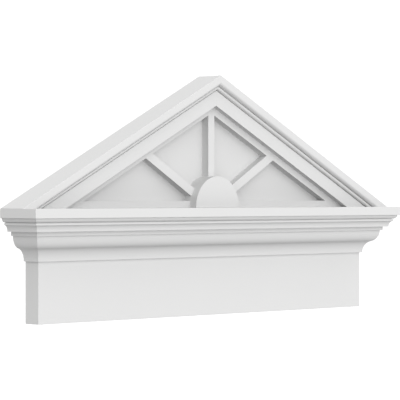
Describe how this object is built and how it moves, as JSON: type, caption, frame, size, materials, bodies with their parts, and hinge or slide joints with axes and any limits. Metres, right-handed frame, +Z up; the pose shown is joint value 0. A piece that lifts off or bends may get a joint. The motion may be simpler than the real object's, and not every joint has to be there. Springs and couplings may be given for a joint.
{
  "type": "classical pediment",
  "caption": "White peaked pediment for a window or door head: gable with spoked fan fret and half-round hub over a cap board, crown moulding with mitred returns and plain frieze board.",
  "frame": {"origin": "centre of the flat back of the frieze board, where the pediment is fixed to the wall", "axes": "+X along the width to the viewer's right, +Y into the wall, +Z up; the front faces -Y"},
  "size_m": [0.7494, 0.0698, 0.3396],
  "materials": {
    "white_sheet": "white cellular PVC sheet, smooth matte to satin skin",
    "white_moulding": "white cellular PVC moulding, smooth satin"
  },
  "bodies": {
    "root": {"frieze_board": "white_sheet", "crown_front": "white_moulding", "crown_return_left": "white_moulding", "crown_return_right": "white_moulding", "cap_board": "white_sheet", "tympanum_panel": "white_sheet", "spoke_fret": "white_sheet", "hub": "white_sheet", "rake_board_left": "white_sheet", "rake_board_right": "white_sheet", "rake_moulding_left": "white_moulding", "rake_moulding_right": "white_moulding"}
  },
  "joints": []
}
